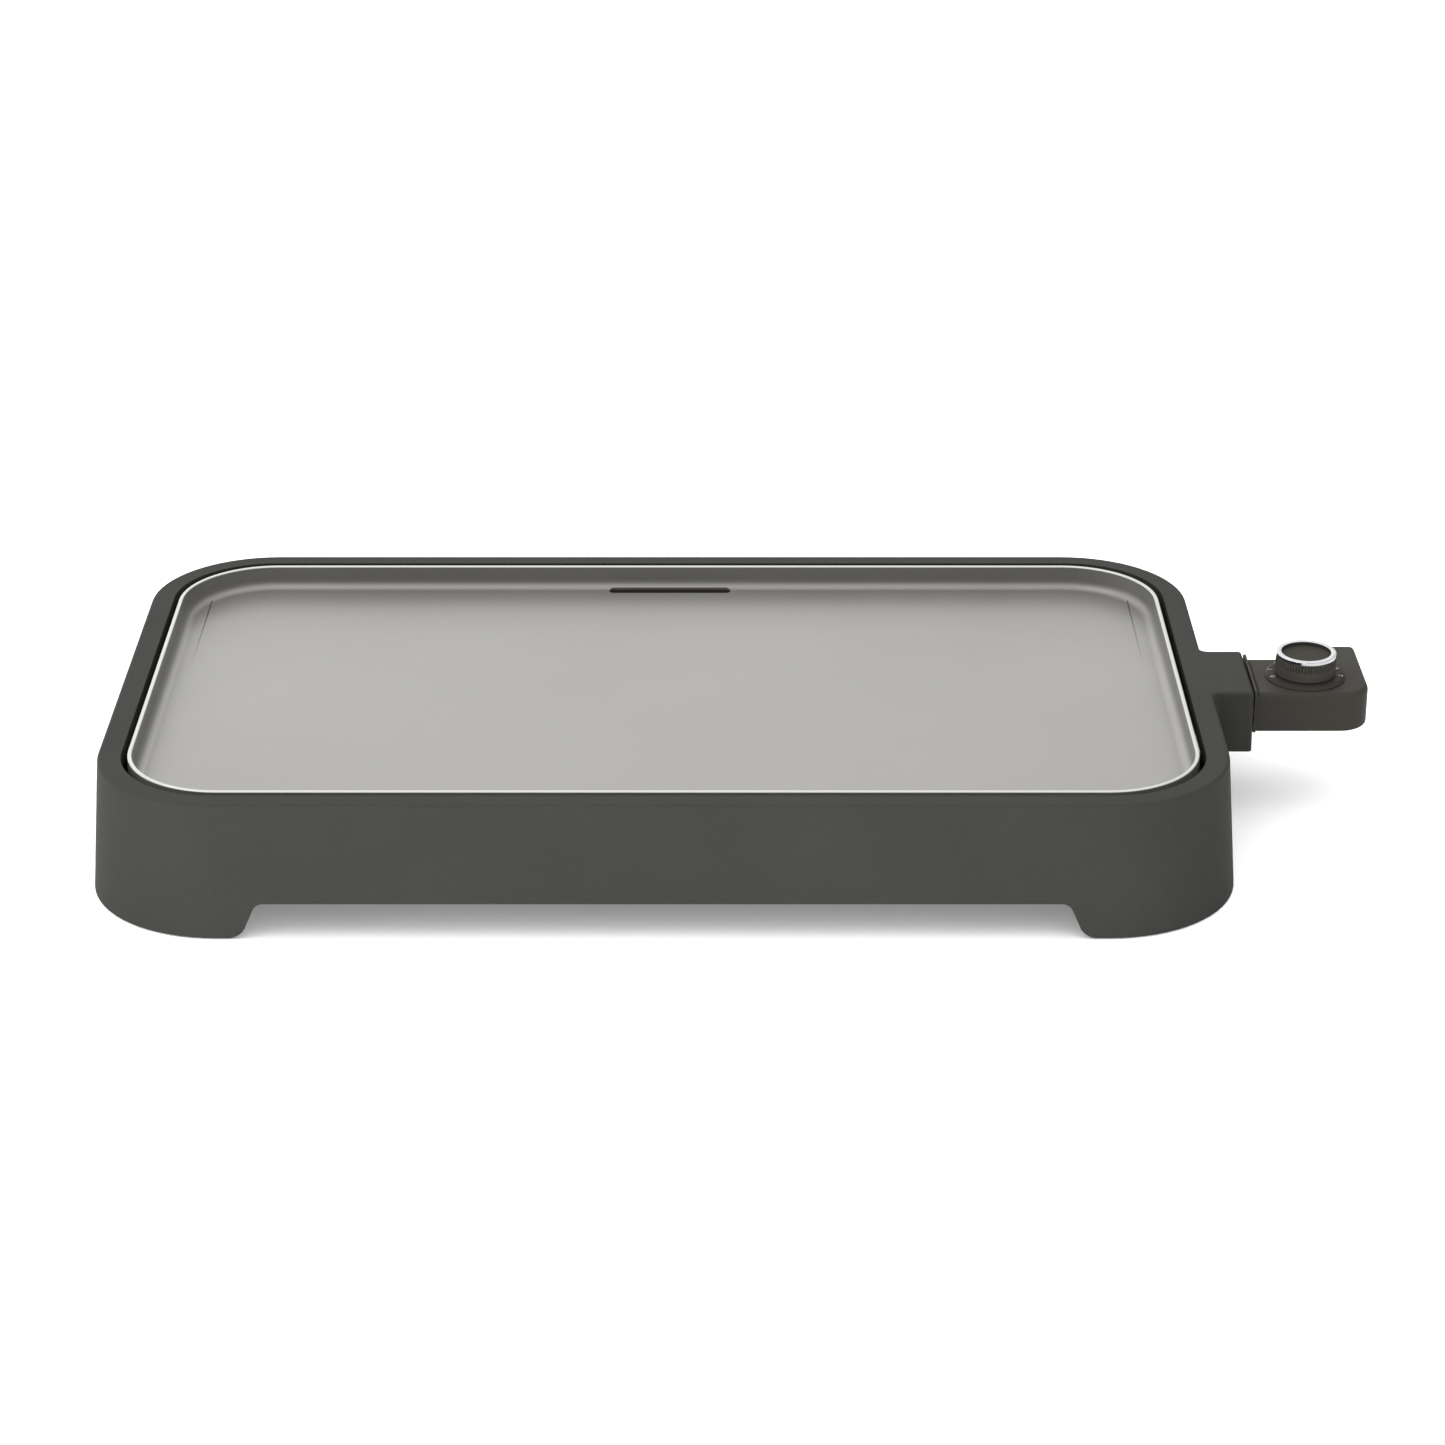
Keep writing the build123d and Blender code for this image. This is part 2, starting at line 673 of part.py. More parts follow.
# Tray guide: two angle rails, and the stop bar that ties their front ends
with BuildPart() as tray_guide:
    with BuildSketch(home.offset(rail_bottom)):
        with Locations((0, guide_front)):
            Rectangle(2 * guide_outer, guide_back - guide_front, align=(Align.CENTER, Align.MIN))
            Rectangle(2 * (guide_outer - guide_sheet), guide_back, align=(Align.CENTER, Align.MIN),
                      mode=Mode.SUBTRACT)
            Rectangle(2 * guide_outer, guide_sheet, align=(Align.CENTER, Align.MIN))
    extrude(amount=guide_top - rail_bottom)
    with BuildSketch(home.offset(rail_bottom)):
        with Locations((0, guide_front)):
            Rectangle(2 * guide_outer, guide_back - guide_front, align=(Align.CENTER, Align.MIN))
            Rectangle(2 * guide_inner, guide_back, align=(Align.CENTER, Align.MIN), mode=Mode.SUBTRACT)
    extrude(amount=guide_sheet)
    with BuildSketch(facing(guide_back)):
        with GridLocations(guide_outer - guide_sheet + guide_tab_outer, 0, 2, 1):
            with Locations((0, guide_tab_bottom)):
                Rectangle(guide_tab_outer - guide_outer + guide_sheet, guide_top - guide_tab_bottom,
                          align=(Align.CENTER, Align.MIN))
        with Locations(*guide_screws_at):
            Circle(guide_screw_radius + screw_clearance, mode=Mode.SUBTRACT)
    extrude(amount=guide_sheet)
tray_guide.part.label = "tray_guide"
export_step(tray_guide.part, "parts/tray_guide.step")

with BuildPart() as tray_guide_screws:
    with BuildSketch(facing(guide_back - guide_sheet)):
        with Locations(*guide_screws_at):
            Circle(guide_screw_head)
    extrude(amount=guide_screw_head_height)
    fillet(tray_guide_screws.faces().group_by(Axis.Y)[0].edges(), radius=guide_screw_edge)
    with BuildSketch(facing(guide_back - guide_sheet)):
        with Locations(*guide_screws_at):
            Circle(guide_screw_radius)
    extrude(amount=-guide_screw_length)
tray_guide_screws.part.label = "tray_guide_screws"
export_step(tray_guide_screws.part, "parts/tray_guide_screws.step")

# Drip tray
with BuildPart() as drip_tray:
    tray_length = tray_pan_back - tray_front
    tray_middle = (tray_front + tray_pan_back) / 2
    tray_inside = (2 * (tray_half_width - tray_wall), tray_length - 2 * tray_wall, tray_corner - tray_wall)
    with BuildSketch(home.offset(tray_bottom)):
        with Locations((0, tray_middle)):
            RectangleRounded(2 * tray_half_width, tray_length, tray_corner)
    extrude(amount=tray_top - tray_bottom)
    fillet(drip_tray.faces().sort_by(Axis.Z)[0].edges(), radius=tray_bottom_edge)
    with BuildSketch(home.offset(tray_top)):
        with Locations((0, tray_middle)):
            RectangleRounded(*tray_inside)
    extrude(amount=-(tray_top - tray_bottom - tray_wall), mode=Mode.SUBTRACT)
    # Side lips that slide on the rails, and the web back to the front panel
    with BuildSketch(home.offset(tray_top)):
        with Locations((0, tray_front)):
            Rectangle(2 * tray_lip_half, tray_web_back - tray_front, align=(Align.CENTER, Align.MIN))
        with Locations((0, tray_middle)):
            RectangleRounded(*tray_inside, mode=Mode.SUBTRACT)
    extrude(amount=-tray_lip)
    # Panel that closes the notch in the back wall, sloped like the wall
    with BuildSketch(across(-face_half_width)):
        outer_low = base_width / 2 - face_gap - base_slope * face_bottom
        outer_high = base_width / 2 - face_gap - base_slope * face_top
        with BuildLine():
            Polyline((outer_low, face_bottom), (outer_high, face_top), (outer_high - wall, face_top),
                     (outer_low - wall, face_bottom), (outer_low, face_bottom))
        make_face()
    extrude(amount=2 * face_half_width)
    with BuildSketch(home.offset(tray_top - tray_lip)):
        with GridLocations(tray_rib_spacing, 0, 2, 1):
            with Locations((0, tray_rib_y)):
                Rectangle(tray_rib[0], tray_rib[1])
    extrude(amount=-tray_rib[2])
drip_tray.part.label = "drip_tray"
export_step(drip_tray.part, "parts/drip_tray.step")

# Heat control: collar and two housing halves
with BuildPart() as probe_collar:
    with BuildSketch(across(collar_left, 0, (control_bottom + collar_top) / 2)):
        RectangleRounded(2 * collar_half_width, collar_top - control_bottom, collar_corner)
    extrude(amount=collar_thickness)
    with BuildSketch(across(collar_left, 0, terminal_z)):
        with Locations(*pins_at):
            Circle(pin_opening)
        Circle(rod_radius)
    extrude(amount=collar_thickness, mode=Mode.SUBTRACT)
probe_collar.part.label = "probe_collar"
export_step(probe_collar.part, "parts/probe_collar.step")

with BuildSketch() as control_outline:
    with BuildLine():
        FilletPolyline(
            (collar_right, -neck_half_width), (control_right, -neck_half_width), (control_right, head_back),
            (head_left, head_back), (head_left, neck_half_width), (collar_right, neck_half_width),
            radius=[front_corner, small_corner, small_corner, small_corner],
        )
        Line((collar_right, neck_half_width), (collar_right, -neck_half_width))
    make_face()
with BuildSketch() as control_hollow:
    add(control_outline.sketch)
    offset(amount=-control_wall)

with BuildPart() as control_lower_housing:
    with BuildSketch(home.offset(control_split)):
        add(control_outline.sketch)
    extrude(amount=control_bottom - control_split)
    fillet(control_lower_housing.faces().sort_by(Axis.Z)[0].edges(), radius=control_bottom_edge)
    with BuildSketch(home.offset(control_split)):
        add(control_hollow.sketch)
    extrude(amount=control_bottom + control_floor - control_split, mode=Mode.SUBTRACT)
    with BuildSketch(home.offset(control_bottom + control_floor / 2)):
        with Locations(*housing_screws_at):
            Circle(housing_boss_radius)
    extrude(amount=control_split - control_bottom - control_floor / 2)
    with BuildSketch(home.offset(control_bottom)):
        with Locations(*housing_screws_at):
            Circle(housing_screw_radius)
    extrude(amount=control_split - control_bottom, mode=Mode.SUBTRACT)
    with BuildSketch(home.offset(control_bottom)):
        with Locations(*housing_screws_at):
            Circle(housing_head_radius + head_clearance)
    extrude(amount=housing_recess, mode=Mode.SUBTRACT)
    with BuildSketch(across(collar_right - 1, 0, terminal_z)):
        with Locations(*pins_at):
            Circle(pin_opening)
        Circle(rod_radius)
    extrude(amount=2 * control_wall + 1, mode=Mode.SUBTRACT)
    with BuildSketch(facing(head_back + 1)):
        with Locations((gland_x, control_split)):
            RectangleRounded(*gland_window)
    extrude(amount=2 * control_wall + 1, mode=Mode.SUBTRACT)
control_lower_housing.part.label = "control_lower_housing"
export_step(control_lower_housing.part, "parts/control_lower_housing.step")

with BuildPart() as control_upper_housing:
    with BuildSketch(home.offset(control_split)):
        add(control_outline.sketch)
    extrude(amount=control_top - control_split)
    fillet(control_upper_housing.faces().sort_by(Axis.Z)[-1].edges(), radius=control_edge)
    with BuildSketch(home.offset(control_split)):
        add(control_hollow.sketch)
    extrude(amount=control_top - control_split - control_roof, mode=Mode.SUBTRACT)
    with BuildSketch(home.offset(control_split)):
        with Locations(*housing_screws_at):
            Circle(housing_boss_radius)
            Circle(housing_screw_radius, mode=Mode.SUBTRACT)
    extrude(amount=housing_boss_top - control_split)
    with BuildSketch(home.offset(control_top)):
        with Locations((knob_x, 0)):
            Circle(shaft_opening)
        with Locations(lens_at):
            Circle(lens_radius)
    extrude(amount=-2 * control_roof, mode=Mode.SUBTRACT)
    with BuildSketch(facing(head_back + 1)):
        with Locations((gland_x, control_split)):
            RectangleRounded(*gland_window)
    extrude(amount=2 * control_wall + 1, mode=Mode.SUBTRACT)
control_upper_housing.part.label = "control_upper_housing"
export_step(control_upper_housing.part, "parts/control_upper_housing.step")

with BuildPart() as control_screws:
    screw_seat = control_bottom + housing_recess
    with BuildSketch(home.offset(screw_seat)):
        with Locations(*housing_screws_at):
            Circle(housing_head_radius)
    extrude(amount=-housing_head_height)
    with BuildSketch(home.offset(screw_seat - housing_head_height)):
        with Locations(*housing_screws_at):
            Rectangle(housing_cross[0], housing_cross[1])
            Rectangle(housing_cross[1], housing_cross[0])
    extrude(amount=housing_cross[2], mode=Mode.SUBTRACT)
    with BuildSketch(home.offset(screw_seat)):
        with Locations(*housing_screws_at):
            Circle(housing_screw_radius)
    extrude(amount=housing_screw_length)
control_screws.part.label = "control_screws"
export_step(control_screws.part, "parts/control_screws.step")

# Sensor rod: a tube closed at its tip, with a push rod inside it
with BuildPart() as sensor_rod:
    with BuildSketch(across(rod_tip, 0, terminal_z)):
        Circle(rod_radius)
    extrude(amount=rod_end - rod_tip)
    fillet(sensor_rod.faces().sort_by(Axis.X)[0].edges(), radius=rod_nose)
    with BuildSketch(across(rod_tip + rod_nose_wall, 0, terminal_z)):
        Circle(rod_radius - rod_wall)
    extrude(amount=rod_end - rod_tip, mode=Mode.SUBTRACT)
sensor_rod.part.label = "sensor_rod"
export_step(sensor_rod.part, "parts/sensor_rod.step")

with BuildPart() as sensor_push_rod:
    with BuildSketch(across(rod_tip + rod_nose_wall, 0, terminal_z)):
        Circle(push_rod_radius)
    extrude(amount=push_rod_length)
sensor_push_rod.part.label = "sensor_push_rod"
export_step(sensor_push_rod.part, "parts/sensor_push_rod.step")

# Block that carries the two contact sleeves, with a post for the fixed contact
with BuildPart() as contact_block:
    block_right = contact_block_start + contact_block_size[0]
    with BuildSketch(across(contact_block_start, 0, contact_block_z)):
        Rectangle(contact_block_size[1], contact_block_size[2])
    extrude(amount=contact_block_size[0])
    with BuildSketch(home.offset(contact_foot[0])):
        with Locations((block_right - 1, 0)):
            Rectangle(contact_post[1] - block_right + 1, 2 * contact_post_half_width,
                      align=(Align.MIN, Align.CENTER))
    extrude(amount=contact_foot[1] - contact_foot[0])
    with BuildSketch(home.offset(contact_foot[0])):
        with Locations((contact_post[0], 0)):
            Rectangle(contact_post[1] - contact_post[0], 2 * contact_post_half_width,
                      align=(Align.MIN, Align.CENTER))
    extrude(amount=fixed_bottom - contact_foot[0])
    with BuildSketch(across(contact_block_start, 0, terminal_z)):
        with Locations(*pins_at):
            Circle(sleeve_radius)
        Circle(rod_radius)
    extrude(amount=contact_block_size[0], mode=Mode.SUBTRACT)
contact_block.part.label = "contact_block"
export_step(contact_block.part, "parts/contact_block.step")

with BuildPart() as contact_sleeves:
    with BuildSketch(across(sleeve_start, 0, terminal_z)):
        with Locations(*pins_at):
            Circle(sleeve_radius)
            Circle(pin_radius + sleeve_clearance, mode=Mode.SUBTRACT)
    extrude(amount=sleeve_reach)
contact_sleeves.part.label = "contact_sleeves"
export_step(contact_sleeves.part, "parts/contact_sleeves.step")

# Thermostat frame: a bent strip with two ears for the pivot pin
with BuildPart() as thermostat_frame:
    with BuildSketch(facing(frame_half_width)):
        with BuildLine():
            Polyline(
                (frame_left, frame_bottom), (frame_foot_right, frame_bottom),
                (frame_foot_right, frame_bottom + frame_sheet),
                (frame_left + frame_sheet, frame_bottom + frame_sheet),
                (frame_left + frame_sheet, frame_top - frame_sheet),
                (frame_top_right, frame_top - frame_sheet), (frame_top_right, frame_top),
                (frame_left, frame_top), (frame_left, frame_bottom),
            )
        make_face()
    extrude(amount=2 * frame_half_width)
    with BuildSketch(home.offset(frame_top)):
        with Locations((knob_x, 0)):
            Circle(bush_hole)
    extrude(amount=-frame_sheet, mode=Mode.SUBTRACT)
    for ear_y in (frame_half_width, ear_thickness - frame_half_width):
        with BuildSketch(facing(ear_y)):
            with Locations((pivot_x, ear_top)):
                Rectangle(ear_width, ear_top - frame_bottom - frame_sheet / 2,
                          align=(Align.CENTER, Align.MAX))
        extrude(amount=ear_thickness)
    with BuildSketch(facing(frame_half_width)):
        with Locations((pivot_x, pivot_z)):
            Circle(pivot_radius)
    extrude(amount=2 * frame_half_width, mode=Mode.SUBTRACT)
thermostat_frame.part.label = "thermostat_frame"
export_step(thermostat_frame.part, "parts/thermostat_frame.step")

with BuildPart() as arm_pivot_pin:
    with BuildSketch(facing(pivot_length / 2)):
        with Locations((pivot_x, pivot_z)):
            Circle(pivot_radius)
    extrude(amount=pivot_length)
arm_pivot_pin.part.label = "arm_pivot_pin"
export_step(arm_pivot_pin.part, "parts/arm_pivot_pin.step")

# Contact arm: a rocker, balanced about its pivot with its contact rivet at the right end
with BuildPart() as contact_arm:
    with BuildSketch(facing(arm_half_width)):
        with Locations((pivot_x, pivot_z)):
            Circle(arm_barrel)
        with Locations((arm_left, pivot_z)):
            Rectangle(arm_right - arm_left, arm_thickness, align=(Align.MIN, Align.CENTER))
    extrude(amount=2 * arm_half_width)
    with BuildSketch(facing(arm_half_width)):
        with Locations((pivot_x, pivot_z)):
            Circle(arm_bore)
    extrude(amount=2 * arm_half_width, mode=Mode.SUBTRACT)
    with BuildSketch(home.offset(pivot_z)):
        with Locations((contact_x, 0)):
            Circle(contact_radius)
    extrude(amount=-arm_thickness / 2 - contact_height + 0.2)
contact_arm.part.label = "contact_arm"
export_step(contact_arm.part, "parts/contact_arm.step")

with BuildPart() as fixed_contact:
    with BuildSketch(home.offset(fixed_bottom)):
        with Locations((fixed_left, 0)):
            Rectangle(fixed_right - fixed_left, 2 * fixed_half_width, align=(Align.MIN, Align.CENTER))
    extrude(amount=fixed_thickness)
    with BuildSketch(home.offset(fixed_bottom)):
        with Locations((contact_x, 0)):
            Circle(contact_radius)
    extrude(amount=fixed_thickness + contact_height - 0.2)
    with BuildSketch(across(fixed_right, 0, fixed_bottom + fixed_thickness)):
        Rectangle(2 * fixed_half_width, fixed_bottom + fixed_thickness - fixed_tail_bottom,
                  align=(Align.CENTER, Align.MAX))
    extrude(amount=-fixed_thickness)
fixed_contact.part.label = "fixed_contact"
export_step(fixed_contact.part, "parts/fixed_contact.step")

with BuildPart() as shaft_bush:
    with BuildSketch(home.offset(shaft_bush_z[1])):
        with Locations((knob_x, 0)):
            Circle(bush_hole)
    extrude(amount=shaft_bush_z[3] - shaft_bush_z[1])
    with BuildSketch(home.offset(shaft_bush_z[0])):
        with Locations((knob_x, 0)):
            Circle(shaft_bush_flange)
    extrude(amount=shaft_bush_z[2] - shaft_bush_z[0])
    with BuildSketch(home.offset(shaft_bush_z[0])):
        with Locations((knob_x, 0)):
            Circle(shaft_radius + shaft_bush_clearance)
    extrude(amount=shaft_bush_z[3] - shaft_bush_z[0], mode=Mode.SUBTRACT)
shaft_bush.part.label = "shaft_bush"
export_step(shaft_bush.part, "parts/shaft_bush.step")

# Dial ring under the knob, pilot lamp and its lens
with BuildPart() as dial_ring:
    with BuildSketch(home.offset(control_top)):
        with Locations((knob_x, 0)):
            Circle(dial_radius)
    extrude(amount=dial_top - control_top)
    chamfer(dial_ring.edges().sort_by(Axis.Z)[-1], length=dial_bevel[0], length2=dial_bevel[1])
    with BuildSketch(home.offset(control_top)):
        with Locations((knob_x, 0)):
            Circle(shaft_opening)
    extrude(amount=dial_top - control_top, mode=Mode.SUBTRACT)
dial_ring.part.label = "dial_ring"
export_step(dial_ring.part, "parts/dial_ring.step")

with BuildPart() as pilot_lens:
    with BuildSketch(home.offset(lens_bottom)):
        with Locations(lens_at):
            Circle(lens_radius)
    extrude(amount=control_top + lens_rise - lens_bottom)
    fillet(pilot_lens.edges().sort_by(Axis.Z)[-1], radius=lens_edge)
pilot_lens.part.label = "pilot_lens"
export_step(pilot_lens.part, "parts/pilot_lens.step")

with BuildPart() as pilot_lamp:
    with BuildSketch(across(lamp_start, lens_at[1], lamp_z)):
        Circle(lamp_radius)
    extrude(amount=lamp_length)
    fillet(pilot_lamp.faces().sort_by(Axis.X)[-1].edges(), radius=lamp_tip)
pilot_lamp.part.label = "pilot_lamp"
export_step(pilot_lamp.part, "parts/pilot_lamp.step")

# Terminal block for the supply cord, and its screws
with BuildPart() as cord_terminals:
    with BuildSketch(home.offset(terminal_block_bottom)):
        with Locations(terminal_block_at):
            Rectangle(terminal_block_size[0], terminal_block_size[1])
    extrude(amount=terminal_block_size[2])
    with BuildSketch(facing(terminal_block_at[1] + terminal_block_size[1] / 2)):
        with Locations((terminal_block_at[0], wire_hole_z)):
            with GridLocations(wire_hole_spacing, 0, 2, 1):
                Circle(wire_hole_radius)
    extrude(amount=terminal_block_size[1], mode=Mode.SUBTRACT)
    with BuildSketch(home.offset(wire_hole_z)):
        with Locations(terminal_block_at):
            with GridLocations(*wire_screw_spacing, 2, 2):
                Circle(wire_screw_radius)
    extrude(amount=terminal_block_size[2], mode=Mode.SUBTRACT)
cord_terminals.part.label = "cord_terminals"
export_step(cord_terminals.part, "parts/cord_terminals.step")

with BuildPart() as cord_terminal_screws:
    with BuildSketch(home.offset(wire_screw_bottom)):
        with Locations(terminal_block_at):
            with GridLocations(*wire_screw_spacing, 2, 2):
                Circle(wire_screw_radius)
    extrude(amount=wire_screw_length)
cord_terminal_screws.part.label = "cord_terminal_screws"
export_step(cord_terminal_screws.part, "parts/cord_terminal_screws.step")

# Gland where the supply cord enters the back of the control
with BuildPart() as cord_gland:
    with BuildSketch(facing(gland_back)):
        with Locations((gland_x, gland_z)):
            RectangleRounded(*gland_flange)
    extrude(amount=gland_back - head_back)
    fillet(cord_gland.faces().sort_by(Axis.Y)[-1].edges(), radius=gland_edge)
    with BuildSketch(facing(head_back)):
        with Locations((gland_x, control_split)):
            RectangleRounded(*gland_window)
    extrude(amount=control_wall + 0.1)
    with BuildSketch(facing(head_back - control_wall - 0.1)):
        with Locations((gland_x, control_split)):
            RectangleRounded(*gland_inner)
    extrude(amount=gland_inner_thickness)
    with BuildSketch(facing(gland_back)):
        with Locations((gland_x, control_split)):
            Circle(cord_radius)
    extrude(amount=4 * gland_inner_thickness, mode=Mode.SUBTRACT)
cord_gland.part.label = "cord_gland"
export_step(cord_gland.part, "parts/cord_gland.step")

# Knob: grip with grooves, disc, bright ring, shaft and clip
with BuildPart() as knob_body:
    with BuildSketch(facing(0)):
        with BuildLine():
            Polyline(
                (knob_x + shaft_radius, knob_hub_bottom), (knob_x + knob_hub_radius, knob_hub_bottom),
                (knob_x + knob_hub_radius, knob_hollow_top), (knob_x + knob_skirt_inner, knob_hollow_top),
                (knob_x + knob_skirt_inner, knob_bottom), (knob_x + knob_radius_bottom, knob_bottom),
                (knob_x + knob_radius_top, knob_top), (knob_x + ring_inner, knob_top),
                (knob_x + ring_inner, cap_seat), (knob_x + shaft_radius, cap_seat),
                (knob_x + shaft_radius, knob_hub_bottom),
            )
        make_face()
    revolve(axis=knob_axis, revolution_arc=360)
    with BuildSketch(home.offset(knob_top)):
        with Locations((knob_x, 0)):
            with PolarLocations(knob_radius_top + groove_offset, rib_count):
                Rectangle(groove[0], groove[1])
    extrude(amount=-groove[2], mode=Mode.SUBTRACT)
knob_body.part.label = "knob_body"
export_step(knob_body.part, "parts/knob_body.step")

with BuildPart() as knob_cap:
    with BuildSketch(home.offset(cap_seat)):
        with Locations((knob_x, 0)):
            Circle(ring_inner - cap_clearance)
    extrude(amount=knob_top - cap_seat)
    fillet(knob_cap.edges().sort_by(Axis.Z)[-1], radius=cap_edge)
knob_cap.part.label = "knob_cap"
export_step(knob_cap.part, "parts/knob_cap.step")

with BuildPart() as knob_ring:
    with BuildSketch(home.offset(knob_top)):
        with Locations((knob_x, 0)):
            Circle(knob_radius_top)
            Circle(ring_inner, mode=Mode.SUBTRACT)
    extrude(amount=ring_top - knob_top)
    fillet(knob_ring.faces().sort_by(Axis.Z)[-1].edges(), radius=ring_edge)
knob_ring.part.label = "knob_ring"
export_step(knob_ring.part, "parts/knob_ring.step")

with BuildPart() as adjusting_shaft:
    with BuildSketch(home.offset(shaft_bottom)):
        with Locations((knob_x, 0)):
            Circle(shaft_radius)
    extrude(amount=cap_seat - shaft_bottom)
adjusting_shaft.part.label = "adjusting_shaft"
export_step(adjusting_shaft.part, "parts/adjusting_shaft.step")

with BuildPart() as shaft_clip:
    with BuildSketch(home.offset(clip_bottom)):
        with Locations((knob_x, 0)):
            Circle(clip_radius)
            Circle(shaft_radius, mode=Mode.SUBTRACT)
    extrude(amount=clip_thickness)
shaft_clip.part.label = "shaft_clip"
export_step(shaft_clip.part, "parts/shaft_clip.step")
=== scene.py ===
# Electric griddle: finishes, fine parts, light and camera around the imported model
# Lengths are in metres, and names that end in Mm are in millimetres
import json
import math

import bmesh
import bpy
from mathutils import Matrix, Vector


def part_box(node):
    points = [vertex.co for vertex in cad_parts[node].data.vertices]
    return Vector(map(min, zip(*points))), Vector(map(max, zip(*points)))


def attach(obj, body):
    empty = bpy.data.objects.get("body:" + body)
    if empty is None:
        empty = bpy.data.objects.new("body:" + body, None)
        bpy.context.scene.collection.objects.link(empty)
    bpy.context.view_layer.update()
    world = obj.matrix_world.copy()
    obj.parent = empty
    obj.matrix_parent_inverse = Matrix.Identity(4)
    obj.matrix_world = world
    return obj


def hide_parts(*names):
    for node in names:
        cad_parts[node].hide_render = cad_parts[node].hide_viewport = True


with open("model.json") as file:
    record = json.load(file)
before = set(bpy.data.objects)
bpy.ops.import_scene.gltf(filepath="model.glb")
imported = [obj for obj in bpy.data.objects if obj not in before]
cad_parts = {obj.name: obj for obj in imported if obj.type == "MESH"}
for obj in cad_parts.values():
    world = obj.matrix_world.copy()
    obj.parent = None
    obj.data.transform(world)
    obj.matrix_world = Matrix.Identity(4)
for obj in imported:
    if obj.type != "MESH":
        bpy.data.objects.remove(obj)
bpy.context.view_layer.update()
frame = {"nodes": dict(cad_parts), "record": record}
nodes = frame["nodes"]
mm = 0.001
print("stage: frame loaded,", len(nodes), "nodes")


def centreOf(nodeName):
    low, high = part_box(nodeName)
    return (low + high) / 2


panLow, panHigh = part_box("griddle_plate")
panCentre = centreOf("griddle_plate")
panDepth = 12.4 * mm
panFloor = panHigh.z - panDepth
knobLow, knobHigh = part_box("knob_body")
knobCentre = centreOf("knob_body")

# Camera, light and floor

cameraSetup = {
    "lens": 96.0, "sensor": 36.0, "side": 0.0284, "back": 1.7902, "height": 0.8415, "tiltDegrees": 65.87,
    "farthest": 60.0,
}

cameraData = bpy.data.cameras.new("viewCamera")
cameraData.lens = cameraSetup["lens"]
cameraData.sensor_width = cameraSetup["sensor"]
cameraData.clip_end = cameraSetup["farthest"]
camera = bpy.data.objects.new("viewCamera", cameraData)
camera.location = (panCentre.x + cameraSetup["side"], panCentre.y - cameraSetup["back"],
                   cameraSetup["height"])
camera.rotation_euler = (math.radians(cameraSetup["tiltDegrees"]), 0, 0)
bpy.context.scene.collection.objects.link(camera)
bpy.context.scene.camera = camera
bpy.context.scene.view_settings.view_transform = "Standard"


def hexToLinear(code, alpha=1.0):
    channels = [int(code[i:i + 2], 16) / 255 for i in (1, 3, 5)]
    return tuple(c / 12.92 if c <= 0.04045 else ((c + 0.055) / 1.055) ** 2.4 for c in channels) + (alpha,)


def perSize(sizeMm):
    return 1000.0 / sizeMm  # a texture scale that gives features of this size


def addNode(tree, kind, sockets=None, links=None, **settings):
    node = tree.nodes.new(kind)
    for name, value in settings.items():
        setattr(node, name, value)
    for name, value in (sockets or {}).items():
        node.inputs[name].default_value = value
    for name, source in (links or {}).items():
        tree.links.new(source, node.inputs[name])
    return node


def newFinish(name):
    finish = bpy.data.materials.new(name)
    finish.use_nodes = True
    tree = finish.node_tree
    tree.nodes.clear()
    shader = addNode(tree, "ShaderNodeBsdfPrincipled")
    addNode(tree, "ShaderNodeOutputMaterial", links={"Surface": shader.outputs["BSDF"]})
    place = addNode(tree, "ShaderNodeTexCoord").outputs["Object"]
    return finish, tree, shader, place


def ramp(tree, source, stops):
    node = addNode(tree, "ShaderNodeValToRGB", links={"Fac": source})
    while len(node.color_ramp.elements) < len(stops):
        node.color_ramp.elements.new(0.5)
    for element, (position, colour) in zip(node.color_ramp.elements, stops):
        element.position = position
        element.color = colour
    return node.outputs["Color"]


def grey(value):
    return (value, value, value, 1.0)


# Places are measured from the pan's centre; the strip is too low to reach over the front lip into the pan
lightSetup = {
    "leftSoftbox": {
        "at": (-1.3, -0.5, 2.1), "aim": (0.0, 0.0, 0.0), "size": (1.6, 1.6), "power": 8.0,
    },
    "lowFrontStrip": {
        "at": (-0.5, -1.5, -0.042), "aim": (0.0, 0.0, -0.042), "size": (1.6, 0.03), "power": 19.0,
    },
}
for lightName, light in lightSetup.items():
    lightData = bpy.data.lights.new(lightName, "AREA")
    lightData.shape = "RECTANGLE"
    lightData.size = light["size"][0]
    lightData.size_y = light["size"][1]
    lightData.energy = light["power"]
    lamp = bpy.data.objects.new(lightName, lightData)
    lamp.location = panCentre + Vector(light["at"])
    lamp.rotation_euler = (Vector(light["aim"]) - Vector(light["at"])).to_track_quat("-Z", "Y").to_euler()
    bpy.context.scene.collection.objects.link(lamp)

# A white tent, dim low down at the front and at the right; from and to are parts of a unit direction
skySetup = {
    "strength": 2.0, "frontDimming": 0.9, "rightDimming": 0.95, "frontFrom": 0.2, "frontTo": -0.7,
    "rightFrom": 0.0, "rightTo": 0.6, "dimUpTo": 0.85, "dimFullyAt": 0.2,
}
world = bpy.data.worlds.new("studio")
bpy.context.scene.world = world
world.use_nodes = True
skyTree = world.node_tree
skyTree.nodes.clear()
skyPlace = addNode(skyTree, "ShaderNodeTexCoord").outputs["Generated"]
skyAxes = addNode(skyTree, "ShaderNodeSeparateXYZ", links={"Vector": skyPlace})
frontShare = addNode(skyTree, "ShaderNodeMapRange",
                     {"From Min": skySetup["frontFrom"], "From Max": skySetup["frontTo"]},
                     {"Value": skyAxes.outputs["Y"]}).outputs["Result"]
